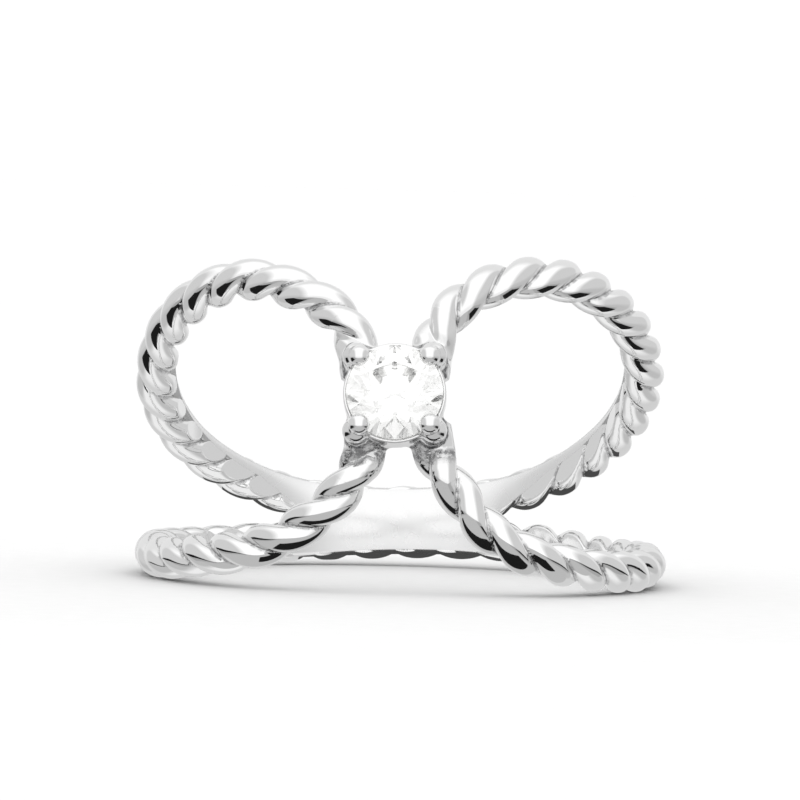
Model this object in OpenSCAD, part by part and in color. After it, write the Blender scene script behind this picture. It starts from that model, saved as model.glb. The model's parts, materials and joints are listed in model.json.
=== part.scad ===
// Crossed rope ring with one round stone, lying on its side.
// Two twisted ropes, one above the other, meet at a four-claw setting in front
// and grow together into one shank, smooth towards the finger, at the back.
// The ring is drawn about its finger hole, front towards -Y, and then laid on the floor.

/* [Finger hole] */
// Inner diameter of the ring
finger_d = 17.3; // [17:0.05:17.6]

/* [Ropes] */
// Radius of each of the two wires in a rope
wire_r = 0.5; // [0.48:0.01:0.52]
// Distance of a wire's middle from the middle of its rope
wire_offset = 0.3; // [0.28:0.01:0.32]
// Length of rope in which a wire of the upper rope goes round once
upper_lay = 3.47; // [3.4:0.01:3.6]
// Length of rope in which a wire of the lower rope goes round once
lower_lay = 3.52; // [3.4:0.01:3.6]

/* [Shank] */
// Thickness of the smooth strip inside the ropes, towards the finger
strip_t = 0.5; // [0.4:0.05:0.6]

/* [Setting] */
// Diameter of the stone at its girdle
stone_d = 3.6; // [3.5:0.05:3.7]
// Height of the girdle over the finger's axis
girdle_h = 10.5; // [10.4:0.05:10.6]
// Gap between the stone and the metal that holds it
stone_gap = 0.03; // [0.02:0.01:0.05]
// Outer radius of the cup under the stone
cup_r = 1.92; // [1.9:0.02:2]
// Radius of the bead at the tip of a claw
bead_r = 0.4; // [0.36:0.01:0.42]

/* [Hidden] */
$fn = 24;

finger_r = finger_d / 2;
rope_r = wire_r + wire_offset;

// Heights of the two ropes over the middle of the finger hole.
// One row for each angle from the front, and one column for each quarter.
ANGLE = 0;
UPPER_LEFT = 1;
UPPER_RIGHT = 2;
LOWER_LEFT = 3;
LOWER_RIGHT = 4;
HEIGHTS = [
    [5, 0.2, 0.1, 0.5, 1.2],
    [7, 0.75, 0.7, -1.98, -0.2],
    [9, 2.2, 2.3, -2.72, -2.05],
    [11, 2.95, 3.0, -3.22, -2.72],
    [14, 3.5, 3.65, -3.76, -3.45],
    [20, 4.2, 4.4, -4.5, -4.67],
    [28, 4.85, 4.95, -5.07, -5.46],
    [38, 5.25, 5.25, -5.25, -5.76],
    [50, 5.2, 5.2, -5.08, -5.72],
    [70, 4.5, 4.55, -4.47, -5.09],
    [90, 3.3, 3.45, -3.38, -4.0],
    [120, 1.8, 2.0, -2.08, -2.6],
    [150, 0.85, 0.9, -1.07, -1.15],
    [180, 0.65, 0.65, -0.65, -0.65]
];

// Angle from the front at which each quarter's rope ends, in the same columns
ENDS = [0, 7.4, 7.4, 6.2, 7.9];

// Depth that the finger hole takes off the ropes, by the angle from the front
SHAVE = [[0, 0.06], [90, 0.08], [120, 0.2], [145, 0.36], [180, 0.38]];

// The smooth strip inside each rope, by the angle from the front: its thickness,
// and how far its outer and inner edge lie from the rope's middle
STRIP_THICKNESS = [[84, 0.1], [110, 0.7], [140, 1], [180, 1]];
STRIP_OUTER_EDGE = [[84, 0.55], [110, 0.66], [180, 0.66]];
STRIP_INNER_EDGE = [[84, 0.45], [110, 0.4], [140, 0.15], [158, -0.9], [180, -0.9]];
strip_first_turn = 84;
strip_step = 8;
strip_top = 0.3;
STRIP_CORNERS = 5;

// Height at any angle, on a smooth curve through the rows of one column
function rise(i, j, column) =
    (HEIGHTS[j][column] - HEIGHTS[i][column]) / (HEIGHTS[j][ANGLE] - HEIGHTS[i][ANGLE]);
function slope(i, column) =
    i == 0 ? rise(0, 1, column) :
    i == len(HEIGHTS) - 1 ? 0 :
    rise(i - 1, i + 1, column);
function row_below(angle, i = 0) =
    i >= len(HEIGHTS) - 2 || angle < HEIGHTS[i + 1][ANGLE] ? i : row_below(angle, i + 1);
function height_at(angle, column) =
    let(
        i = row_below(angle),
        span = HEIGHTS[i + 1][ANGLE] - HEIGHTS[i][ANGLE],
        t = (angle - HEIGHTS[i][ANGLE]) / span
    )
    (2 * t ^ 3 - 3 * t ^ 2 + 1) * HEIGHTS[i][column]
    + (t ^ 3 - 2 * t ^ 2 + t) * span * slope(i, column)
    + (3 * t ^ 2 - 2 * t ^ 3) * HEIGHTS[i + 1][column]
    + (t ^ 3 - t ^ 2) * span * slope(i + 1, column);

// A turn of 0 is the front, 90 the right side and 180 the back
function angle_of(turn) = turn <= 180 ? turn : 360 - turn;
function height_of(turn, right, left) = height_at(angle_of(turn), turn <= 180 ? right : left);
function on_cylinder(radius, turn, height) = [radius * sin(turn), -radius * cos(turn), height];

path_steps = 360;
function rope_path(right, left) = [
    for (i = [0 : path_steps])
        let(turn = ENDS[right] + (360 - ENDS[right] - ENDS[left]) * i / path_steps)
        on_cylinder(
            finger_r + rope_r - lookup(angle_of(turn), SHAVE),
            turn,
            height_of(turn, right, left)
        )
];
UPPER_PATH = rope_path(UPPER_RIGHT, UPPER_LEFT);
LOWER_PATH = rope_path(LOWER_RIGHT, LOWER_LEFT);

// Running length at each point of a path
function lengths(path, i = 1, sums = [0]) =
    i >= len(path) ? sums :
    lengths(path, i + 1, concat(sums, [sums[i - 1] + norm(path[i] - path[i - 1])]));

// Outline of two wires side by side, as a radius for each angle. A slanting wire is cut across
// as an ellipse, wider along the rope's outside than through its middle.
function outline_r(a, lay) =
    let(
        wire_w = wire_r * norm([1, 360 * wire_offset * PI / 180 / lay]),
        square = (cos(a) / wire_r) ^ 2 + (sin(a) / wire_w) ^ 2,
        linear = wire_offset * abs(cos(a)) / wire_r ^ 2,
        rest = (wire_offset / wire_r) ^ 2 - 1
    )
    (linear + sqrt(linear ^ 2 - square * rest)) / square;
OUTLINE = [0, 34, 63, 90, 117, 146, 180, 214, 243, 270, 297, 326];
rings_per_lay = 9;
look_ahead = 0.5;

// Closed skin over rings of points, with its quads split along the twist
module skin(points, n, rings, hand = 1) {
    sides = [
        for (k = [0 : rings - 2])
            for (j = [0 : n - 1])
                let(
                    a = k * n + j,
                    b = k * n + (j + 1) % n,
                    c = a + n,
                    d = b + n
                )
                for (face = hand > 0 ? [[a, c, b], [b, c, d]] : [[a, c, d], [a, d, b]])
                    face
    ];
    first_cap = [for (j = [0 : n - 1]) j];
    last_cap = [for (j = [n - 1 : -1 : 0]) (rings - 1) * n + j];
    polyhedron(points, concat(sides, [first_cap], [last_cap]));
}

// Rings of points on one rope. A hand of 1 twists like a common screw, and -1 the other way.
function rope_points(path, hand, lay, start) =
    let(
        sums = lengths(path),
        total = sums[len(sums) - 1],
        spans = ceil(total / lay * rings_per_lay),
        xs = [for (i = [0 : len(path) - 1]) [sums[i], path[i].x]],
        ys = [for (i = [0 : len(path) - 1]) [sums[i], path[i].y]],
        zs = [for (i = [0 : len(path) - 1]) [sums[i], path[i].z]]
    )
    [
        for (k = [0 : spans])
            let(
                s = total * k / spans,
                here = [lookup(s, xs), lookup(s, ys), lookup(s, zs)],
                s1 = min(total, s + look_ahead),
                s0 = max(0, s - look_ahead),
                ahead = [lookup(s1, xs), lookup(s1, ys), lookup(s1, zs)],
                behind = [lookup(s0, xs), lookup(s0, ys), lookup(s0, zs)],
                along = (ahead - behind) / norm(ahead - behind),
                side = cross(along, [here.x, here.y, 0]),
                across = side / norm(side),
                outward = cross(across, along)
            )
            for (a = OUTLINE)
                let(b = a + start + hand * 360 * s / lay)
                here + outline_r(a, lay) * (cos(b) * outward + sin(b) * across)
    ];
upper_hand = -1;
upper_start = 34;
UPPER_POINTS = rope_points(UPPER_PATH, upper_hand, upper_lay, upper_start);
lower_hand = 1;
lower_start = 13;
LOWER_POINTS = rope_points(LOWER_PATH, lower_hand, lower_lay, lower_start);

module rope(points, hand) skin(points, len(OUTLINE), len(points) / len(OUTLINE), hand);

// Smooth strip between a rope and the finger. A way of 1 is for the upper rope, -1 for the lower.
module strip(right, left, way) {
    inside = finger_r - strip_t;
    points = [
        for (turn = [strip_first_turn : strip_step : 360 - strip_first_turn])
            let(
                angle = angle_of(turn),
                core = finger_r + rope_r - lookup(angle, SHAVE),
                outside = finger_r + strip_t * lookup(angle, STRIP_THICKNESS),
                outer = lookup(angle, STRIP_OUTER_EDGE),
                inner = lookup(angle, STRIP_INNER_EDGE),
                corners = [
                    [inside, inner],
                    [core, min(inner, 0)],
                    [core, strip_top],
                    [outside, outer],
                    [inside, outer]
                ]
            )
            for (i = way > 0 ? [len(corners) - 1 : -1 : 0] : [0 : len(corners) - 1])
                on_cylinder(corners[i][0], turn, height_of(turn, right, left) + way * corners[i][1])
    ];
    skin(points, STRIP_CORNERS, len(points) / STRIP_CORNERS);
}

// The setting is drawn with the stone's axis up, and its height counted from the finger's axis
module in_front() rotate([90, 0, 0]) children();

turned_fn = 48;
girdle_t = 0.12;

cup_low = 9.62;
cup_rim = girdle_h - 0.08;
cup_inner_r = 1.35;
cup_bevel_w = 0.12;
cup_bevel_h = 0.15;
module cup()
    rotate_extrude($fn = turned_fn)
        polygon([
            [cup_inner_r, cup_low],
            [cup_r - cup_bevel_w, cup_low],
            [cup_r, cup_low + cup_bevel_h],
            [cup_r, cup_rim],
            [cup_inner_r, cup_rim]
        ]);

// A claw leans out from its foot to its shoulder, and a short neck there carries the bead
claw_fn = 14;
claw_first = 45;
claw_step = 90;
claw_foot = [1.6, 0, 9];
claw_foot_r = 0.55;
claw_shoulder = [2.05, 0, girdle_h - 0.1];
claw_shoulder_r = 0.5;
bead_circle_r = 1.86;
bead_h = girdle_h + 0.33;
neck_r = bead_r - 0.02;
module claw() {
    hull() {
        translate(claw_foot) sphere(claw_foot_r);
        translate(claw_shoulder) sphere(claw_shoulder_r);
    }
    translate([bead_circle_r, 0, bead_h]) sphere(bead_r);
    translate([bead_circle_r, 0, claw_shoulder.z]) cylinder(h = bead_h - claw_shoulder.z, r = neck_r);
}

module claws() for (i = [0 : 3]) rotate([0, 0, claw_first + i * claw_step]) claw($fn = claw_fn);

// Shape of a brilliant cut stone, as shares of its radius
table_share = 0.57;
star_share = 0.763;
crown_h_share = 0.2955;
star_h_share = 0.2028;
culet_share = 0.9;
stone_fn = 64;

// Room for the stone: its outline turned, a little larger all round
module seat() {
    r = stone_d / 2;
    half = girdle_t / 2;
    rotate_extrude($fn = turned_fn)
        intersection() {
            translate([0, girdle_h - stone_d]) square([stone_d, 2 * stone_d]);
            offset(delta = stone_gap) polygon([
                [-r, girdle_h - half],
                [0, girdle_h - half - culet_share * r],
                [r, girdle_h - half],
                [r, girdle_h + half],
                [star_share * r, girdle_h + half + star_h_share * r],
                [table_share * r, girdle_h + half + crown_h_share * r],
                [-r, girdle_h + half + crown_h_share * r]
            ]);
        }
}

module casting() {
    rope(UPPER_POINTS, upper_hand);
    rope(LOWER_POINTS, lower_hand);
    strip(UPPER_RIGHT, UPPER_LEFT, 1);
    strip(LOWER_RIGHT, LOWER_LEFT, -1);
    in_front() {
        cup();
        claws();
    }
}

// Lying on the floor, the ring stands on the lower rope, which leans it back and a little sideways
rest_tilt = -17.26;
rest_roll = -1.89;
function turned(p) =
    let(
        y = p.y * cos(rest_tilt) - p.z * sin(rest_tilt),
        z = p.y * sin(rest_tilt) + p.z * cos(rest_tilt)
    )
    [p.x * cos(rest_roll) + z * sin(rest_roll), y, z * cos(rest_roll) - p.x * sin(rest_roll)];
bead_place = bead_circle_r * sin(claw_first);
FRONT_POINTS = [
    for (x = [-bead_place, bead_place])
        for (z = [-bead_place, bead_place])
            turned([x, -bead_h, z]) - [0, bead_r, 0]
];
OUTERMOST = [
    for (p = concat(UPPER_POINTS, LOWER_POINTS))
        turned(p),
    for (p = FRONT_POINTS)
        p
];
xs_at_rest = [for (p = OUTERMOST) p.x];
ys_at_rest = [for (p = OUTERMOST) p.y];
floor_at = min([for (p = OUTERMOST) p.z]);
module at_rest()
    translate([-(min(xs_at_rest) + max(xs_at_rest)) / 2, -(min(ys_at_rest) + max(ys_at_rest)) / 2, -floor_at])
        rotate([rest_tilt, rest_roll, 0])
            children();

// The ropes, strips and setting are joined first, so that the finger hole is cut through them all
bore_h = 40;
bore_fn = 72;
module ring_band() color("gainsboro") at_rest()
    difference() {
        resize([0, 0, 0])
            difference() {
                casting();
                in_front() seat();
            }
        cylinder(h = bore_h, r = finger_r, center = true, $fn = bore_fn);
    }

// One cut of a facet: takes away what lies over a plane that slopes down outwards
module facet_cut(azimuth, tilt, reach, level) {
    big = 2 * stone_d;
    rotate([0, 0, azimuth])
        translate([reach, 0, level])
            rotate([0, tilt, 0])
                translate([-big, -big, 0])
                    cube([2 * big, 2 * big, big]);
}

// Tiers of facets, above and below the girdle: how many, the first one's azimuth,
// the slope from the girdle's plane, and the radius at which it meets that plane
COUNT = 0;
FIRST = 1;
SLOPE = 2;
REACH = 3;
CROWN = [
    [8, 0, 34.5, 1],
    [8, 22.5, 21.4, 1.2803],
    [16, 11.25, 41.1, 0.9808]
];
PAVILION = [
    [8, 0, 40.8, 1],
    [16, 11.25, 42, 0.9808]
];

module stone() color("white") at_rest() in_front() translate([0, 0, girdle_h]) {
    r = stone_d / 2;
    half = girdle_t / 2;
    difference() {
        translate([0, 0, -stone_d]) cylinder(h = stone_d + half + crown_h_share * r, r = r, $fn = stone_fn);
        for (tier = CROWN)
            for (i = [0 : tier[COUNT] - 1])
                facet_cut(tier[FIRST] + i * 360 / tier[COUNT], tier[SLOPE], tier[REACH] * r, half);
        for (tier = PAVILION)
            for (i = [0 : tier[COUNT] - 1])
                facet_cut(tier[FIRST] + i * 360 / tier[COUNT], 180 - tier[SLOPE], tier[REACH] * r, -half);
    }
}

ring_band();
stone();
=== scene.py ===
"""Crossed rope ring with one round stone, lying on white paper in a studio tent.

The CAD model gives the size and the place. The metal is drawn once more here, in millimetres about the
finger hole and with the stone towards -Y, from the same heights, twists and starts as the CAD's ropes.
It gets finer meshes, the fillets of a casting and soft edges, and one matrix lays it down in metres.
"""
import json
import math

import bmesh
import bpy
import numpy as np
from mathutils import Matrix, Vector


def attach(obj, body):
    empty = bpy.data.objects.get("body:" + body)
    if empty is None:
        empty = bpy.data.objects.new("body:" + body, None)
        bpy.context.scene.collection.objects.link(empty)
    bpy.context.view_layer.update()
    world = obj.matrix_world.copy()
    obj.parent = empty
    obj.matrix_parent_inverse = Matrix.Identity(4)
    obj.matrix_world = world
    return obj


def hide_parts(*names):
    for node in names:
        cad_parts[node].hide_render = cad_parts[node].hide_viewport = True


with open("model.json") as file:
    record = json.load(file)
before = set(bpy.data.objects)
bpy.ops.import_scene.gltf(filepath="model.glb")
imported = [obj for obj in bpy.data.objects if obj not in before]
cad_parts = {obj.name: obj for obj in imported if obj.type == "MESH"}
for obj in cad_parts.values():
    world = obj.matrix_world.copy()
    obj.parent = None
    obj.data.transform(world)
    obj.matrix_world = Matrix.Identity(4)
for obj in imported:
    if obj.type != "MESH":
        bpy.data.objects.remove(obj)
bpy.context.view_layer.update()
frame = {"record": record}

MM = 0.001

# Sizes in millimetres, as in the CAD model. The heights of the girdle, cup, claws and beads run outward
# from the finger hole's axis
FINGER_R = 8.65
WIRE_R = 0.5
WIRE_OFFSET = 0.3
ROPE_R = WIRE_R + WIRE_OFFSET
LOOK_AHEAD = 0.5
STONE_R = 1.8
GIRDLE_H = 10.5
GIRDLE_HALF = 0.06
STONE_GAP = 0.03
CUP_R = 1.92
CUP_INNER_R = 1.35
CUP_LOW = 9.62
CUP_RIM = 10.42

# Claws and beads: distance from the stone's axis, height, and half the thickness
CLAW_FOOT = (1.6, 9.0, 0.55)
CLAW_SHOULDER = (2.05, 10.4, 0.5)
BEAD_CIRCLE_R = 1.86
BEAD_H = 10.83
BEAD_R = 0.4
NECK_R = 0.38

# Heights of the ropes along the finger hole: angle from the front, then the four quarters
UPPER_LEFT, UPPER_RIGHT, LOWER_LEFT, LOWER_RIGHT = 1, 2, 3, 4
HEIGHTS = np.array([
    (5, 0.2, 0.1, 0.5, 1.2),
    (7, 0.75, 0.7, -1.98, -0.2),
    (9, 2.2, 2.3, -2.72, -2.05),
    (11, 2.95, 3.0, -3.22, -2.72),
    (14, 3.5, 3.65, -3.76, -3.45),
    (20, 4.2, 4.4, -4.5, -4.67),
    (28, 4.85, 4.95, -5.07, -5.46),
    (38, 5.25, 5.25, -5.25, -5.76),
    (50, 5.2, 5.2, -5.08, -5.72),
    (70, 4.5, 4.55, -4.47, -5.09),
    (90, 3.3, 3.45, -3.38, -4.0),
    (120, 1.8, 2.0, -2.08, -2.6),
    (150, 0.85, 0.9, -1.07, -1.15),
    (180, 0.65, 0.65, -0.65, -0.65),
])
# By column, the angle from the front at which each quarter ends in the setting
ENDS = (0, 7.4, 7.4, 6.2, 7.9)

# By the angle from the front: what the finger hole takes off the ropes, and the strip inside them
SHAVE = ((0, 90, 120, 145, 180), (0.06, 0.08, 0.2, 0.36, 0.38))
STRIP_THICKNESS = ((84, 110, 140, 180), (0.05, 0.35, 0.5, 0.5))
STRIP_OUTER_EDGE = ((84, 110, 180), (0.55, 0.66, 0.66))
STRIP_INNER_EDGE = ((84, 110, 140, 158, 180), (0.45, 0.4, 0.15, -0.9, -0.9))
STRIP_FIRST_TURN = 84
STRIP_TOP = 0.3
STRIP_SOFT_EDGE = 0.12
STRIP_THICKNESS_TO_EDGE = 2.2
STRIP_CROWN = 0.5
# The strip stands this little proud of the ropes' flat sides
STRIP_LIFT = 0.004

# The two ropes: quarters on the right and left, way of the twist, length of one turn, angle at the start
UPPER_ROPE = (UPPER_RIGHT, UPPER_LEFT, -1, 3.47, math.radians(34))
LOWER_ROPE = (LOWER_RIGHT, LOWER_LEFT, 1, 3.52, math.radians(13))

# Shares of the stone's radius: the seat's depth, the bend of the crown's outline, and the table
SEAT_DEPTH = 0.9
CROWN_TURN_R = 0.763
CROWN_TURN_H = 0.2028
TABLE_R = 0.57
CROWN_H = 0.2955

# How finely the ropes and strips are drawn, and the fillet in a rope's valleys
PATH_STEPS = 1440
ROPE_STEP = 0.07
ROPE_POINTS = 60
ROPE_OVERLAP = 0.3
CROWD_TO_VALLEYS = 0.2
VALLEY_FILLET = 0.014
STRIP_STATIONS = 385
EDGE_POINTS = 6

# The last stretch of each arm, where the twist fades into a plain oval at the setting
ARM_RUN = 2.6
ARM_STATIONS = 80
ARM_DEPTH = 0.66
ARM_WIDTH = 0.82
ARM_PLAIN_RUN = 1.5
ARM_FADE = 1.2
# Where the rope overlaps the arm's outer end, the arm lies this little inside the rope
ARM_SINK = 0.004
ARM_SINK_RUN = (0.6, 0.3)

# The setting's field of distances: its box, its step, how many fine steps make a coarse one, and the
# distance to begin with. Then the fillets, and the soft edge of the cup
SETTING_LOW = (-4.2, -11.5, -4.9)
SETTING_HIGH = (4.2, -8.4, 4.6)
SETTING_STEP = 0.04
COARSE = 4
FAR_OFF = 9
ARM_FILLET = 0.42
CLAW_FILLET = 0.2
BEAD_FILLET = 0.05
SHARP = 0.001
CUP_EDGE = 0.06

# Where the buffing wheel doesn't reach, and where the metal's colour is darkened as painted shade: valleys,
# corners, and the setting's front under the lower beads. For that front, the height or width at which the
# grain and the painted shade end, and the stretch over which they fade
CORNER_DEPTH = 0.08
ROPE_GRAIN_AND_SHADE = 0.75
FRONT_GRAIN_AND_SHADE = 0.85
FRONT_TOP = (-1.6, 0.5)
FRONT_BOTTOM = (-3.4, 1.2)
FRONT_SIDE = (2.7, 0.5)

# How the ring lies, from the finger hole in the frame. The middle of the ring's own heights is on the
# same axis, this many millimetres from the middle of the hole
hole = next(m for m in frame["record"]["mounts"] if m["name"] == "finger_hole")
HOLE_AXIS = Vector(hole["axis"])
HOLE_MIDDLE = -0.2561
RING_MIDDLE = Vector(hole["pos_m"]) - HOLE_AXIS * HOLE_MIDDLE * MM
AT_REST = (
    Matrix.Translation(RING_MIDDLE)
    @ Matrix.Rotation(math.atan2(HOLE_AXIS.x, HOLE_AXIS.z), 4, "Y")
    @ Matrix.Rotation(-math.asin(HOLE_AXIS.y), 4, "X")
)


def to_linear(colour):
    """Linear red, green and blue of an sRGB hex colour."""
    parts = [int(colour[i:i + 2], 16) / 255 for i in (1, 3, 5)]
    return [p / 12.92 if p <= 0.04045 else ((p + 0.055) / 1.055) ** 2.4 for p in parts]


def unit(vectors):
    return vectors / np.linalg.norm(vectors, axis=-1, keepdims=True)


# The ropes' middle lines

def height_at(angle, column):
    """Height at any angle, on the CAD's smooth curve through the rows of one column."""
    x, y = HEIGHTS[:, 0], HEIGHTS[:, column]
    slopes = np.empty(len(x))
    slopes[0] = (y[1] - y[0]) / (x[1] - x[0])
    slopes[1:-1] = (y[2:] - y[:-2]) / (x[2:] - x[:-2])
    slopes[-1] = 0
    row = np.clip(np.searchsorted(x, angle, side="right") - 1, 0, len(x) - 2)
    span = x[row + 1] - x[row]
    t = (angle - x[row]) / span
    return (
        (2 * t**3 - 3 * t**2 + 1) * y[row]
        + (t**3 - 2 * t**2 + t) * span * slopes[row]
        + (3 * t**2 - 2 * t**3) * y[row + 1]
        + (t**3 - t**2) * span * slopes[row + 1]
    )


def angle_of(turn):
    """Angle from the front, from 0 to 180 degrees, for a turn from the front round by the right."""
    return np.where(turn <= 180, turn, 360 - turn)


def height_of(turn, right, left):
    """Height of a rope's middle at any turn, from its right and left columns."""
    angle = angle_of(turn)
    return np.where(turn <= 180, height_at(angle, right), height_at(angle, left))


def on_cylinder(radius, turn, height):
    """Points at a radius, turn and height about the finger hole."""
    height = np.broadcast_to(height, np.shape(turn))
    turn = np.radians(turn)
    return np.stack([radius * np.sin(turn), -radius * np.cos(turn), height], axis=-1)


def rope_line(right, left):
    """Points along a rope's middle, from the setting's right side round the back, and the run to each."""
    turn = np.linspace(ENDS[right], 360 - ENDS[left], PATH_STEPS + 1)
    radius = FINGER_R + ROPE_R - np.interp(angle_of(turn), *SHAVE)
    points = on_cylinder(radius, turn, height_of(turn, right, left))
    run = np.concatenate([[0], np.cumsum(np.linalg.norm(np.diff(points, axis=0), axis=1))])
    return points, run


def stations(line, s):
    """Place, direction, and the two directions square to it, across and outward, at lengths s of a line."""
    points, run = line

    def place(at):
        return np.stack([np.interp(at, run, points[:, k]) for k in range(3)], axis=-1)

    here = place(s)
    along = unit(place(np.minimum(s + LOOK_AHEAD, run[-1])) - place(np.maximum(s - LOOK_AHEAD, 0)))
    across = unit(np.cross(along, here * (1, 1, 0)))
    return here, along, across, np.cross(across, along)


def outline_r(angle, lay):
    """Reach of a rope's outline: two slanting wires, each cut as an ellipse, and a fillet between."""
    wire_w = WIRE_R * math.hypot(1, 2 * math.pi * WIRE_OFFSET / lay)
    square = (np.cos(angle) / WIRE_R) ** 2 + (np.sin(angle) / wire_w) ** 2
    linear = WIRE_OFFSET * np.cos(angle) / WIRE_R**2
    root = np.sqrt(linear**2 + square * (1 - (WIRE_OFFSET / WIRE_R) ** 2))
    one, other = (root + linear) / square, (root - linear) / square
    return VALLEY_FILLET * np.logaddexp(one / VALLEY_FILLET, other / VALLEY_FILLET)


# Meshes

def new_piece(name, points, faces, material, node, normals=None, hollow=None):
    """A piece from points in millimetres about the finger hole, laid down with the ring.

    Smooth pieces bring their own normals, so that no seam or step shows in a reflection, and a number
    for each point that says how deep it lies in a valley or a corner of the casting.
    """
    mesh = bpy.data.meshes.new(name)
    mesh.from_pydata(np.asarray(points) * MM, [], faces)
    mesh.transform(AT_REST)
    mesh.materials.append(material)
    if normals is not None:
        mesh.shade_smooth()
        mesh.normals_split_custom_set_from_vertices(unit(normals) @ np.array(AT_REST.to_3x3()).T)
    if hollow is not None:
        depth = mesh.attributes.new("hollow", "FLOAT", "POINT")
        depth.data.foreach_set("value", hollow.astype(np.float32))
    piece = bpy.data.objects.new(name, mesh)
    bpy.context.scene.collection.objects.link(piece)
    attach(piece, "root")
    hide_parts(node)
    return piece


def grid_normals(points, middle):
    """Normals of a closed skin of rings, pointing away from its middle line."""
    around = np.roll(points, -1, axis=1) - np.roll(points, 1, axis=1)
    normals = np.cross(around, np.gradient(points, axis=0))
    inward = ((points - middle[:, None]) * normals).sum(axis=(1, 2)) < 0
    normals[inward] *= -1
    return normals


def skin(rings, around):
    """Quads over rings of points that follow each other, with both ends closed."""
    k, j = np.meshgrid(np.arange(rings - 1), np.arange(around), indexing="ij")
    a = (k * around + j).ravel()
    b = (k * around + (j + 1) % around).ravel()
    sides = np.stack([a, b, b + around, a + around], axis=1).tolist()
    first = list(range(around - 1, -1, -1))
    last = list(range((rings - 1) * around, rings * around))
    return sides + [first, last]


def rope_piece(name, rope, material):
    """One twisted rope, between the two ends where the setting takes over, flat towards the finger."""
    right, left, hand, lay, start = rope
    line = rope_line(right, left)
    total = line[1][-1]
    first, last = ARM_RUN - ROPE_OVERLAP, total - ARM_RUN + ROPE_OVERLAP
    s = np.linspace(first, last, int((last - first) / ROPE_STEP))
    here, along, across, outward = stations(line, s)
    even = np.linspace(0, 2 * math.pi, ROPE_POINTS, endpoint=False)
    angle = even + CROWD_TO_VALLEYS * np.sin(2 * even)
    turned = angle[None, :] + start + hand * 2 * math.pi * s[:, None] / lay
    reach = outline_r(angle, lay)[None, :, None]
    points = here[:, None] + reach * (
        np.cos(turned)[..., None] * outward[:, None] + np.sin(turned)[..., None] * across[:, None]
    )
    from_axis = np.hypot(points[..., 0], points[..., 1])
    points[..., :2] *= np.maximum(1, FINGER_R / from_axis)[..., None]
    normals = grid_normals(points, here)
    hollow = ROPE_GRAIN_AND_SHADE * np.clip((ROPE_R - outline_r(angle, lay)) / (ROPE_R - WIRE_R), 0, 1) ** 2
    return new_piece(
        name, points.reshape(-1, 3), skin(len(s), ROPE_POINTS), material, "ring_band",
        normals=normals.reshape(-1, 3), hollow=np.tile(hollow, len(s)),
    )


def strip_piece(name, rope, way, material):
    """The smooth strip between one rope and the finger, which grows into the shank at the back.

    Its corners are given as radius, rise over the rope's middle, and the normal outward and upward.
    """
    right, left = rope[:2]
    turn = np.linspace(STRIP_FIRST_TURN, 360 - STRIP_FIRST_TURN, STRIP_STATIONS)
    angle = angle_of(turn)
    middle = height_of(turn, right, left)
    inside = np.full(len(turn), FINGER_R - STRIP_LIFT)
    core = FINGER_R + ROPE_R - np.interp(angle, *SHAVE)
    outside = FINGER_R + np.interp(angle, *STRIP_THICKNESS)
    outer = np.interp(angle, *STRIP_OUTER_EDGE)
    inner = np.maximum(np.interp(angle, *STRIP_INNER_EDGE), -way * middle)
    soft = np.minimum(STRIP_SOFT_EDGE, (outside - inside) / STRIP_THICKNESS_TO_EDGE)
    corners = [
        (inside, inner, -1, 0),
        (core, np.minimum(inner, 0), 0, -way),
        (core, np.full(len(turn), STRIP_TOP), 1, 0),
    ]
    quarters = np.linspace(0, math.pi / 2, EDGE_POINTS)
    for quarter in quarters:
        out, up = math.cos(quarter), math.sin(quarter)
        corners.append((outside - soft + soft * out, outer - soft + soft * up, out, way * up))
    for quarter in quarters:
        out, up = -math.sin(quarter), math.cos(quarter)
        rise = outer - soft + soft * up
        corners.append((inside + soft + soft * out, rise, out, way * (up - STRIP_CROWN * out)))
    corners = corners[::-way]
    points = [on_cylinder(radius, turn, middle + way * rise) for radius, rise, out, up in corners]
    normals = [on_cylinder(np.full(len(turn), out), turn, up) for radius, rise, out, up in corners]
    points, normals = (np.stack(v, axis=1).reshape(-1, 3) for v in (points, normals))
    return new_piece(
        name, points, skin(len(turn), len(corners)), material, "ring_band",
        normals=normals, hollow=np.zeros(len(points)),
    )


# The setting, as a field of distances

def melt(a, b, k):
    """Smaller of two distances, with a fillet of about size k where they meet."""
    h = np.clip(0.5 + 0.5 * (b - a) / k, 0, 1)
    return b + (a - b) * h - k * h * (1 - h)


def arm_distance(p, rope, from_left):
    """Distance to the end of a rope that runs into the setting, from its right or left side."""
    right, left, hand, lay, start = rope
    line = rope_line(right, left)
    total = line[1][-1]
    s = np.linspace(0, ARM_RUN, ARM_STATIONS)
    s = total - s if from_left else s
    here, along, across, outward = (v.astype(np.float32) for v in stations(line, s))
    best = np.full(len(p), np.inf, np.float32)
    nearest = np.zeros(len(p), np.int32)
    for i in range(len(s)):
        d = ((p - here[i]) ** 2).sum(axis=1)
        closer = d < best
        best[closer] = d[closer]
        nearest[closer] = i
    off = p - here[nearest]
    ahead = (off * along[nearest]).sum(axis=1)
    off -= ahead[:, None] * along[nearest]
    u, v = (off * outward[nearest]).sum(axis=1), (off * across[nearest]).sum(axis=1)
    at = s[nearest] + ahead
    around = np.arctan2(v, u)
    twisted = outline_r(around - start - hand * 2 * math.pi * at / lay, lay)
    run = total - at if from_left else at
    plain = 1 / np.hypot(np.cos(around) / ARM_DEPTH, np.sin(around) / ARM_WIDTH)
    fade = np.clip((ARM_PLAIN_RUN - run) / ARM_FADE, 0, 1)
    fade = fade**2 * (3 - 2 * fade)
    sink = ARM_SINK * np.clip((run - ARM_RUN + ARM_SINK_RUN[0]) / ARM_SINK_RUN[1], 0, 1)
    d = np.hypot(u, v) - twisted - (plain - twisted) * fade + sink
    return np.maximum(d, np.maximum(run - ARM_RUN, -run))


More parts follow.
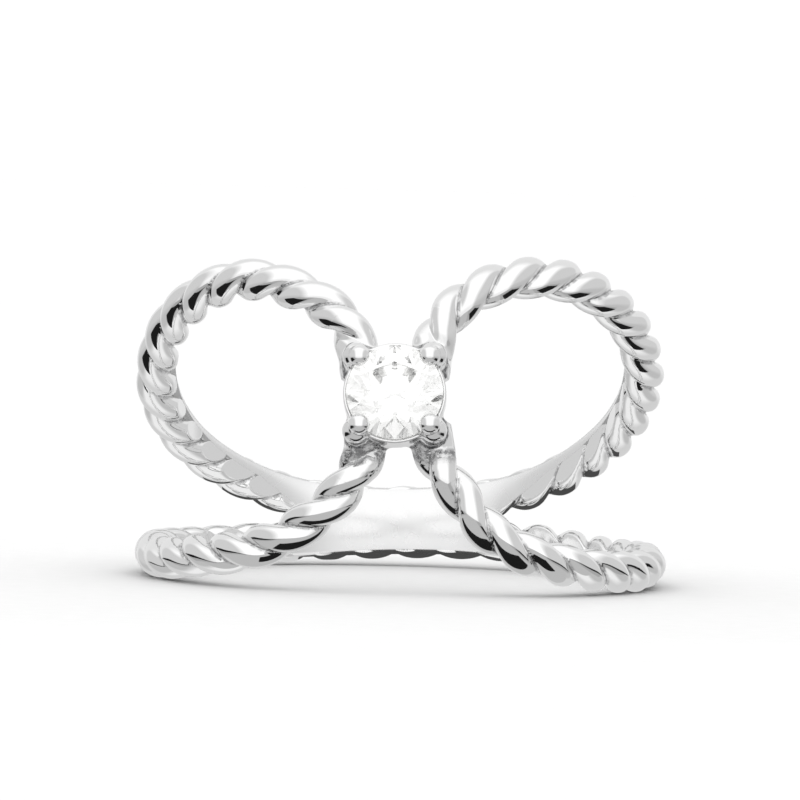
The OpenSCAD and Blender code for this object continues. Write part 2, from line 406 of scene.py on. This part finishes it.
def claw_distance(x, y, h, side_x, side_y):
    """Distances to one claw and to its bead, which stand at a corner of the setting."""
    out = math.sqrt(0.5)

    def at(radius):
        return side_x * radius * out, side_y * radius * out

    (foot_r, foot_h, thick0), (shoulder_r, shoulder_h, thick1) = CLAW_FOOT, CLAW_SHOULDER
    (x0, y0), (x1, y1) = at(foot_r), at(shoulder_r)
    axis = np.array([x1 - x0, y1 - y0, shoulder_h - foot_h])
    t = ((x - x0) * axis[0] + (y - y0) * axis[1] + (h - foot_h) * axis[2]) / (axis @ axis)
    t = np.clip(t, 0, 1)
    dx, dy, dh = x - x0 - t * axis[0], y - y0 - t * axis[1], h - foot_h - t * axis[2]
    post = np.sqrt(dx**2 + dy**2 + dh**2)
    post -= thick0 + t * (thick1 - thick0)
    xb, yb = at(BEAD_CIRCLE_R)
    bead = np.sqrt((x - xb) ** 2 + (y - yb) ** 2 + (h - BEAD_H) ** 2) - BEAD_R
    neck_h = np.clip(h, shoulder_h, BEAD_H)
    neck = np.sqrt((x - xb) ** 2 + (y - yb) ** 2 + (h - neck_h) ** 2) - NECK_R
    return post, np.minimum(bead, neck)


def seat_distance(out, h):
    """Distance to the room for the stone: its outline turned, a little larger all round."""
    low, high = GIRDLE_H - GIRDLE_HALF, GIRDLE_H + GIRDLE_HALF

    def slope(r0, h0, r1, h1):
        length = math.hypot(r1 - r0, h1 - h0)
        return ((out - r0) * (h1 - h0) - (h - h0) * (r1 - r0)) / length

    turn_r, turn_h = CROWN_TURN_R * STONE_R, high + CROWN_TURN_H * STONE_R
    sides = (
        out - STONE_R,
        slope(0, low - SEAT_DEPTH * STONE_R, STONE_R, low),
        slope(STONE_R, high, turn_r, turn_h),
        slope(turn_r, turn_h, TABLE_R * STONE_R, high + CROWN_H * STONE_R),
        h - high - CROWN_H * STONE_R,
    )
    return np.maximum.reduce(sides) - STONE_GAP


def setting_distance(p, rounded=True):
    """Distance to the cast setting at points p: cup, claws, beads and the arms that run into them."""
    fillets = (CLAW_FILLET, BEAD_FILLET, ARM_FILLET) if rounded else (SHARP,) * 3
    claw_fillet, bead_fillet, arm_fillet = fillets
    x, h, y = p[:, 0], -p[:, 1], p[:, 2]
    out = np.hypot(x, y)
    flat = np.abs(out - (CUP_R + CUP_INNER_R) / 2) - (CUP_R - CUP_INNER_R) / 2 + CUP_EDGE
    tall = np.abs(h - (CUP_LOW + CUP_RIM) / 2) - (CUP_RIM - CUP_LOW) / 2 + CUP_EDGE
    outside = np.hypot(np.maximum(flat, 0), np.maximum(tall, 0))
    body = outside + np.minimum(np.maximum(flat, tall), 0) - CUP_EDGE
    beads = np.full(len(p), FAR_OFF, np.float32)
    for side_x in (-1, 1):
        for side_y in (-1, 1):
            post, bead = claw_distance(x, y, h, side_x, side_y)
            body = melt(body, post, claw_fillet)
            beads = np.minimum(beads, bead)
    arms = np.full(len(p), FAR_OFF, np.float32)
    for rope in (UPPER_ROPE, LOWER_ROPE):
        for from_left in (False, True):
            arms = np.minimum(arms, arm_distance(p, rope, from_left))
    body = melt(body, arms, arm_fillet)
    body = melt(body, beads, bead_fillet)
    body = np.maximum(body, -seat_distance(out, h))
    return np.maximum(body, FINGER_R - np.hypot(p[:, 0], p[:, 1]))


def fillet_depth(points):
    """How deep each point lies in a corner of the casting, from 0 on open faces to 1."""
    return np.clip(setting_distance(points, rounded=False) / CORNER_DEPTH, 0, 1)


def sampled(distance, low, high, step):
    """Grid of distances: coarse everywhere, and exact only near the surface."""
    counts = [int(math.ceil((b - a) / step / COARSE)) * COARSE + 1 for a, b in zip(low, high)]
    axes = [a + step * np.arange(n) for a, n in zip(low, counts)]
    few = [a[::COARSE] for a in axes]
    grid = np.stack(np.meshgrid(*few, indexing="ij"), axis=-1).reshape(-1, 3).astype(np.float32)
    rough = distance(grid).reshape([len(a) for a in few])
    for axis in range(3):
        rough = np.moveaxis(rough, axis, 0)
        finer = np.empty((COARSE * (len(rough) - 1) + 1,) + rough.shape[1:], np.float32)
        for i in range(COARSE):
            finer[i:-1:COARSE] = rough[:-1] * (1 - i / COARSE) + rough[1:] * (i / COARSE)
        finer[-1] = rough[-1]
        rough = np.moveaxis(finer, 0, axis)
    near = np.abs(rough) < COARSE * step
    index = np.argwhere(near)
    points = np.stack([axes[k][index[:, k]] for k in range(3)], axis=1).astype(np.float32)
    rough[near] = distance(points)
    return rough


def surface(field, low, step):
    """Points and quads where a grid of distances is zero: a point a crossed cell, a quad a crossed edge."""
    cells = tuple(n - 1 for n in field.shape)
    total = np.zeros((np.prod(cells), 3))
    count = np.zeros(np.prod(cells))
    crossings = []
    for axis in range(3):
        ends = [slice(None)] * 3
        starts = list(ends)
        starts[axis], ends[axis] = slice(None, -1), slice(1, None)
        a, b = field[tuple(starts)], field[tuple(ends)]
        crossed = np.argwhere((a < 0) != (b < 0))
        others = [k for k in range(3) if k != axis]
        last = np.array(field.shape)[others] - 1
        inner = ((crossed[:, others] > 0) & (crossed[:, others] < last)).all(axis=1)
        crossed = crossed[inner]
        va, vb = a[tuple(crossed.T)], b[tuple(crossed.T)]
        where = crossed.astype(float)
        where[:, axis] += va / (va - vb)
        corners = []
        for back in ((0, 0), (1, 0), (1, 1), (0, 1)):
            cell = crossed.copy()
            cell[:, others[0]] -= back[0]
            cell[:, others[1]] -= back[1]
            flat = np.ravel_multi_index(cell.T, cells)
            np.add.at(total, flat, where)
            np.add.at(count, flat, 1)
            corners.append(flat)
        quads = np.stack(corners, axis=1)
        flip = (va < 0) == (axis == 1)
        quads[flip] = quads[flip][:, ::-1]
        crossings.append(quads)
    used = np.flatnonzero(count)
    name = np.full(len(count), -1)
    name[used] = np.arange(len(used))
    points = total[used] / count[used, None] * step + np.array(low)
    return points, name[np.concatenate(crossings)]


def setting_piece(name, material):
    """Cup, claws and arm ends as one casting, with the field's own normals for clean reflections."""
    field = sampled(setting_distance, SETTING_LOW, SETTING_HIGH, SETTING_STEP)
    points, faces = surface(field, SETTING_LOW, SETTING_STEP)
    cell = (points - np.array(SETTING_LOW)) / SETTING_STEP
    corner = np.floor(cell).astype(int)
    part = cell - corner
    normals = np.zeros((len(points), 3))
    for axis, slopes in enumerate(np.gradient(field)):
        for step in np.ndindex(2, 2, 2):
            share = np.prod(np.where(step, part, 1 - part), axis=1)
            normals[:, axis] += share * slopes[tuple((corner + step).T)]
    from_side, height = np.abs(points[:, 0]), points[:, 2]
    front = np.clip((FRONT_TOP[0] - height) / FRONT_TOP[1], 0, 1)
    front *= np.clip((height - FRONT_BOTTOM[0]) / FRONT_BOTTOM[1], 0, 1)
    front *= np.clip((FRONT_SIDE[0] - from_side) / FRONT_SIDE[1], 0, 1)
    hollow = np.maximum(fillet_depth(points.astype(np.float32)), FRONT_GRAIN_AND_SHADE * front)
    return new_piece(
        name, points, faces.tolist(), material, "ring_band", normals=normals, hollow=hollow,
    )


# The stone: for each tier of facets their number, first turn, slope, and reach at the girdle in radii

CROWN = ((8, 0, 34.5, 1), (8, 22.5, 21.4, 1.2803), (16, 11.25, 41.1, 0.9808))
PAVILION = ((8, 0, 40.8, 1), (16, 11.25, 42, 0.9808))
GIRDLE_SEGMENTS = 128
CUT_DISTANCE = 1e-7
MERGE_DISTANCE = 1e-4


def stone_piece(name, material):
    """The round brilliant: a round blank, cut by the CAD's tiers of flat facets."""
    blank = bmesh.new()
    top = GIRDLE_HALF + CROWN_H * STONE_R
    depth = 2 * STONE_R + top
    bmesh.ops.create_cone(
        blank, cap_ends=True, segments=GIRDLE_SEGMENTS, radius1=STONE_R, radius2=STONE_R, depth=depth,
        matrix=Matrix.Translation((0, 0, top - depth / 2)),
    )
    for tiers, way in ((CROWN, 1), (PAVILION, -1)):
        for count, first, slope, reach in tiers:
            lean = math.radians(slope)
            for i in range(count):
                around = math.radians(first + i * 360 / count)
                east, north = math.cos(around), math.sin(around)
                normal = Vector((math.sin(lean) * east, math.sin(lean) * north, way * math.cos(lean)))
                point = Vector((reach * STONE_R * east, reach * STONE_R * north, way * GIRDLE_HALF))
                cut = bmesh.ops.bisect_plane(
                    blank, geom=blank.verts[:] + blank.edges[:] + blank.faces[:], dist=CUT_DISTANCE,
                    plane_co=point, plane_no=normal, clear_outer=True,
                )
                rim = [e for e in cut["geom_cut"] if isinstance(e, bmesh.types.BMEdge)]
                bmesh.ops.contextual_create(blank, geom=rim)
    bmesh.ops.remove_doubles(blank, verts=blank.verts[:], dist=MERGE_DISTANCE)
    blank.transform(Matrix.Translation((0, -GIRDLE_H, 0)) @ Matrix.Rotation(math.radians(90), 4, "X"))
    blank.verts.index_update()
    points = [tuple(v.co) for v in blank.verts]
    faces = [[v.index for v in f.verts] for f in blank.faces]
    blank.free()
    return new_piece(name, points, faces, material, "stone")


# Materials

# Lengths in millimetres. The casting's real grain is finer than this, and so is the paper's tooth: both
# are drawn as coarse as they need to be to show
GRAIN = 0.2
PIT_DEPTH = 0.04
HAZE = 0.9
WAVE_HEIGHT = 0.05
PAPER_TOOTH = 0.8

# How much of the grain, the painted shade in the hollows and the haze shows
SPECK_EDGES = (0.38, 0.62)
UNBUFFED_AND_SHADED_FROM = 0.45
SHADE_BETWEEN_SPECKS = 0.4
PIT_STRENGTH = 0.8
PIT_ROUGHNESS = 0.35
HAZE_EDGES = (0.3, 0.7)
WAVE_STRENGTH = 0.05

ZIRCONIA_IOR = 2.16


def add_node(tree, kind, inputs, **settings):
    """A shader node with its settings. Each of its inputs, by name or number, takes a link or a value.

    A link comes from an output, or from a node, which stands for its first output in use.
    """
    node = tree.nodes.new(kind)
    for key, value in settings.items():
        setattr(node, key, value)
    for socket, source in inputs.items():
        if isinstance(source, bpy.types.Node):
            source = next(output for output in source.outputs if output.enabled)
        if isinstance(source, bpy.types.NodeSocket):
            tree.links.new(source, node.inputs[socket])
        else:
            node.inputs[socket].default_value = source
    return node


def new_material(name):
    """A new material, its nodes, and its main shader."""
    material = bpy.data.materials.new(name)
    material.use_nodes = True
    tree = material.node_tree
    return material, tree, tree.nodes["Principled BSDF"]


def rhodium_plated_silver(name, smoothest, roughest):
    """Cast silver, buffed and rhodium-plated: a cool near-white mirror, rougher in its valleys and greyer
    there by painted shade.

    The buffing wheel leaves shallow waves about a millimetre long and a finer haze on the open faces. It
    doesn't reach the valleys and the corners of the setting, where the grain of the casting still shows,
    and there the colour is darkened as painted shade.
    """
    material, tree, shader = new_material(name)
    place = add_node(tree, "ShaderNodeTexCoord", {}).outputs["Object"]
    hollow = add_node(tree, "ShaderNodeAttribute", {}, attribute_name="hollow").outputs["Fac"]
    grain = add_node(tree, "ShaderNodeTexNoise", {"Vector": place, "Scale": 1 / (GRAIN * MM), "Detail": 3})
    haze = add_node(tree, "ShaderNodeTexNoise", {"Vector": place, "Scale": 1 / (HAZE * MM), "Detail": 2})
    unbuffed_and_shaded = add_node(tree, "ShaderNodeMapRange", {
        "Value": hollow, "From Min": UNBUFFED_AND_SHADED_FROM, "From Max": 1,
    }, interpolation_type="SMOOTHSTEP")
    specks = add_node(tree, "ShaderNodeMapRange", {
        "Value": grain, "From Min": SPECK_EDGES[0], "From Max": SPECK_EDGES[1],
    }, interpolation_type="SMOOTHSTEP")
    pits = add_node(tree, "ShaderNodeMath", {0: specks, 1: unbuffed_and_shaded}, operation="MULTIPLY")
    # Painted shade: the colour is darkened in the valleys and corners, fully on the grain's specks and in
    # part between them
    specks_and_shade = add_node(tree, "ShaderNodeMath", {
        0: specks, 1: 1 - SHADE_BETWEEN_SPECKS, 2: SHADE_BETWEEN_SPECKS,
    }, operation="MULTIPLY_ADD")
    grain_and_painted_shade = add_node(tree, "ShaderNodeMath", {0: specks_and_shade, 1: unbuffed_and_shaded}, operation="MULTIPLY")
    polish = add_node(tree, "ShaderNodeMapRange", {
        "Value": haze, "From Min": HAZE_EDGES[0], "From Max": HAZE_EDGES[1],
        "To Min": smoothest, "To Max": roughest,
    })
    rough = add_node(tree, "ShaderNodeMath", {
        0: pits, 1: PIT_ROUGHNESS, 2: polish,
    }, operation="MULTIPLY_ADD")
    # Painted shade: a dark grey is mixed into the metal's colour where the hollows would lie in shade
    tint = add_node(tree, "ShaderNodeMix", {
        "Factor": grain_and_painted_shade, "A": (*to_linear("#F0F0F0"), 1), "B": (*to_linear("#6E6E70"), 1),
    }, data_type="RGBA")
    waves = add_node(tree, "ShaderNodeBump", {
        "Height": haze, "Strength": WAVE_STRENGTH, "Distance": WAVE_HEIGHT * MM,
    })
    casting = add_node(tree, "ShaderNodeBump", {
        "Height": pits, "Normal": waves, "Strength": PIT_STRENGTH, "Distance": PIT_DEPTH * MM,
    })
    shader.inputs["Metallic"].default_value = 1
    tree.links.new(tint.outputs["Result"], shader.inputs["Base Color"])
    tree.links.new(rough.outputs["Value"], shader.inputs["Roughness"])
    tree.links.new(casting.outputs["Normal"], shader.inputs["Normal"])
    return material


def cubic_zirconia():
    """Cubic zirconia, cut and polished: clear, with crisp facets that bend light more than glass does."""
    material, tree, shader = new_material("cubic_zirconia")
    shader.inputs["Base Color"].default_value = (*to_linear("#FDFDFC"), 1)
    shader.inputs["Roughness"].default_value = 0
    shader.inputs["IOR"].default_value = ZIRCONIA_IOR
    shader.inputs["Transmission Weight"].default_value = 1
    return material


# Outside, where the buffing wheel went, the mirror is nearly clear
silver = rhodium_plated_silver("rhodium_plated_silver", 0.035, 0.09)
# Next to the finger the polish is softer, and the shank shows only a blurred picture of the arms
inner_silver = rhodium_plated_silver("finger_worn_silver", 0.24, 0.32)
zirconia = cubic_zirconia()

rope_piece("upper_rope", UPPER_ROPE, silver)
rope_piece("lower_rope", LOWER_ROPE, silver)
strip_piece("upper_strip", UPPER_ROPE, 1, inner_silver)
strip_piece("lower_strip", LOWER_ROPE, -1, inner_silver)
setting_piece("setting", silver)
stone_piece("brilliant_stone", zirconia)

# The studio

# The camera looks along +Y of the ring's own frame and up at it from a little below its middle
VIEW_RISE = math.radians(14.7)
VIEW_YAW = math.radians(1.1)
VIEW_DISTANCE = 300
PIXELS_PER_MM = 26.03
PICTURE = 800
RING_BELOW_MIDDLE = 63.9

# The paper and the white wall where it ends, in millimetres
FLOOR_HALF = 1500
BACKDROP_Y = 1490
BACKDROP_TOP = 1200
BACKDROP_LIGHT = 1.2

# The tent that the metal mirrors: its light, where its darker sides and back begin and are full, and
# its lower half, which is a little darker too
TENT_LIGHT = 1.18
TENT_SIDE = (0.5, 0.75)
TENT_SIDE_COLOUR = "#CACACA"
TENT_BACK = (0, 0.4)
TENT_BACK_COLOUR = "#DEDEDE"
TENT_LOW = (-0.25, 0)
TENT_FLOOR = 0.82

# The light from the roof, in degrees across and watts a square metre
ROOF_WIDTH = 150
ROOF_LIGHT = 3.35

# Bounces of light: the stone sends it to and fro inside many times
BOUNCES = 20

# Painted reflections: glowing cards close to the ring that show only in its mirror faces; the rear one is a
# painted shadow, the shaded paper under the back of the shank. Colour, height, and their corners
CARDS = {
    "middle_flag": ("#1E1E1E", 0.4, [(-5, -11), (6.5, -11), (6.5, -9), (-5, -9)]),
    "left_flag": ("#1E1E1E", 0.4, [(-32, -18), (-10.5, -18), (-10.5, -3), (-32, -3)]),
    "right_flag": ("#1E1E1E", 0.4, [(11, -17), (23, -17), (23, -3), (11, -3)]),
    "left_grey": ("#B0B0B0", 0.2, [(-34, -30), (-9, -30), (-9, -7), (-14, -3), (-34, -3)]),
    "right_grey": ("#B0B0B0", 0.2, [(9, -30), (30, -30), (30, -3), (14, -3), (9, -7)]),
    "middle_grey": ("#C4C4C4", 0.2, [(-9, -30), (9, -30), (9, -8), (-9, -8)]),
    # Painted shadow: a dark card under the back of the shank, seen only in the mirror of its underside
    "rear_painted_shadow": ("#4C4C4C", 0.2, [(-9, 8), (9, 8), (9, 16), (-9, 16)]),
}


def add_camera():
    """The camera a long way off in front of the stone, laid down with the ring."""
    forward = Vector((
        -math.sin(VIEW_YAW) * math.cos(VIEW_RISE),
        math.cos(VIEW_YAW) * math.cos(VIEW_RISE),
        math.sin(VIEW_RISE),
    ))
    right = Vector((math.cos(VIEW_YAW), math.sin(VIEW_YAW), 0))
    up = right.cross(forward)
    place = -forward * VIEW_DISTANCE
    aim = up * (RING_BELOW_MIDDLE / PIXELS_PER_MM) - place
    forward = aim.normalized()
    up = right.cross(forward)
    turn = Matrix((right, up, -forward)).transposed().to_4x4()
    data = bpy.data.cameras.new("camera")
    data.sensor_width = 36
    data.lens = PIXELS_PER_MM * VIEW_DISTANCE / PICTURE * data.sensor_width
    data.clip_start = 0.01
    data.clip_end = 10
    camera = bpy.data.objects.new("camera", data)
    camera.matrix_world = AT_REST @ Matrix.Translation(place * MM) @ turn
    bpy.context.scene.collection.objects.link(camera)
    bpy.context.scene.camera = camera


def flat_piece(name, corners, material):
    """A stage plane through corners in millimetres."""
    mesh = bpy.data.meshes.new(name)
    mesh.from_pydata(np.asarray(corners) * MM, [], [tuple(range(len(corners)))])
    mesh.materials.append(material)
    plane = bpy.data.objects.new(name, mesh)
    bpy.context.scene.collection.objects.link(plane)
    return plane


def hide(thing, *rays):
    """Takes a thing out of the sight of these kinds of rays."""
    for ray in rays:
        setattr(thing, "visible_" + ray, False)


def add_floor():
    """Wide matt white paper under the ring, with a faint tooth. The eye sees it, and the metal doesn't."""
    material, tree, shader = new_material("matt_white_paper")
    place = add_node(tree, "ShaderNodeTexCoord", {}).outputs["Object"]
    tooth = add_node(tree, "ShaderNodeTexNoise", {
        "Vector": place, "Scale": 1 / (PAPER_TOOTH * MM), "Detail": 2,
    })
    tint = add_node(tree, "ShaderNodeMix", {
        "Factor": tooth, "A": (*to_linear("#B9B9B9"), 1), "B": (*to_linear("#BFBFBF"), 1),
    }, data_type="RGBA")
    tree.links.new(tint.outputs["Result"], shader.inputs["Base Color"])
    shader.inputs["Roughness"].default_value = 0.9
    shader.inputs["Specular IOR Level"].default_value = 0.1
    far = FLOOR_HALF
    floor = flat_piece("floor", [(-far, -far, 0), (far, -far, 0), (far, far, 0), (-far, far, 0)], material)
    hide(floor, "glossy")


def glowing(name, colour, strength):
    """A plain glowing material for a studio card or wall."""
    material, tree, shader = new_material(name)
    shader.inputs["Base Color"].default_value = (0, 0, 0, 1)
    shader.inputs["Specular IOR Level"].default_value = 0
    shader.inputs["Emission Color"].default_value = (*to_linear(colour), 1)
    shader.inputs["Emission Strength"].default_value = strength
    return material


def add_card(name, colour, height, corners):
    """A glowing card for the ring's mirror faces alone, a painted reflection like the flags and gaps of the
    photographer's tent.
    """
    card = flat_piece(name, [(x, y, height) for x, y in corners], glowing(name, colour, 1))
    hide(card, "camera", "diffuse", "transmission", "shadow")


def add_backdrop():
    """A white wall far behind, only for the eye, where the floor ends."""
    far, top = BACKDROP_Y, BACKDROP_TOP
    corners = [(-far, far, 0), (far, far, 0), (far, far, top), (-far, far, top)]
    wall = flat_piece("backdrop", corners, glowing("white_backdrop", "#FFFFFF", BACKDROP_LIGHT))
    hide(wall, "glossy", "diffuse", "transmission", "shadow")


def add_world():
    """A white tent, brightest overhead, and greyer at its two sides, away from the camera and below."""
    world = bpy.data.worlds.new("white_tent")
    bpy.context.scene.world = world
    world.use_nodes = True
    tree = world.node_tree
    way = add_node(tree, "ShaderNodeTexCoord", {}).outputs["Generated"]
    parts = add_node(tree, "ShaderNodeSeparateXYZ", {"Vector": way})
    side = add_node(tree, "ShaderNodeMath", {0: parts.outputs["X"]}, operation="ABSOLUTE")
    sides = add_node(tree, "ShaderNodeValToRGB", {"Fac": side})
    behind = add_node(tree, "ShaderNodeValToRGB", {"Fac": parts.outputs["Y"]})
    fades = ((sides, TENT_SIDE, TENT_SIDE_COLOUR), (behind, TENT_BACK, TENT_BACK_COLOUR))
    for fade, edges, colour in fades:
        for end, edge, ink in zip(fade.color_ramp.elements, edges, ("#FFFFFF", colour)):
            end.position = edge
            end.color = (*to_linear(ink), 1)
    darker = add_node(tree, "ShaderNodeMix", {
        "A": sides, "B": behind, "Factor": 1,
    }, data_type="RGBA", blend_type="DARKEN")
    low = add_node(tree, "ShaderNodeMapRange", {
        "Value": parts.outputs["Z"], "From Min": TENT_LOW[0], "From Max": TENT_LOW[1],
        "To Min": TENT_FLOOR, "To Max": 1,
    })
    all_round = add_node(tree, "ShaderNodeVectorMath", {0: darker, "Scale": low}, operation="SCALE")
    background = tree.nodes["Background"]
    tree.links.new(all_round.outputs["Vector"], background.inputs["Color"])
    background.inputs["Strength"].default_value = TENT_LIGHT


def add_roof_light():
    """Even light from all over the tent's roof. It shows on the paper, and the tent alone in the metal."""
    data = bpy.data.lights.new("roof_light", "SUN")
    data.angle = math.radians(ROOF_WIDTH)
    data.energy = ROOF_LIGHT
    lamp = bpy.data.objects.new("roof_light", data)
    hide(lamp, "glossy", "transmission")
    bpy.context.scene.collection.objects.link(lamp)


add_camera()
add_floor()
add_backdrop()
add_world()
add_roof_light()
for card, (colour, height, corners) in CARDS.items():
    add_card(card, colour, height, corners)

cycles = bpy.context.scene.cycles
cycles.caustics_reflective = False
cycles.caustics_refractive = False
for bounces in ("max_bounces", "transmission_bounces", "glossy_bounces"):
    setattr(cycles, bounces, BOUNCES)
bpy.context.scene.view_settings.view_transform = "Standard"
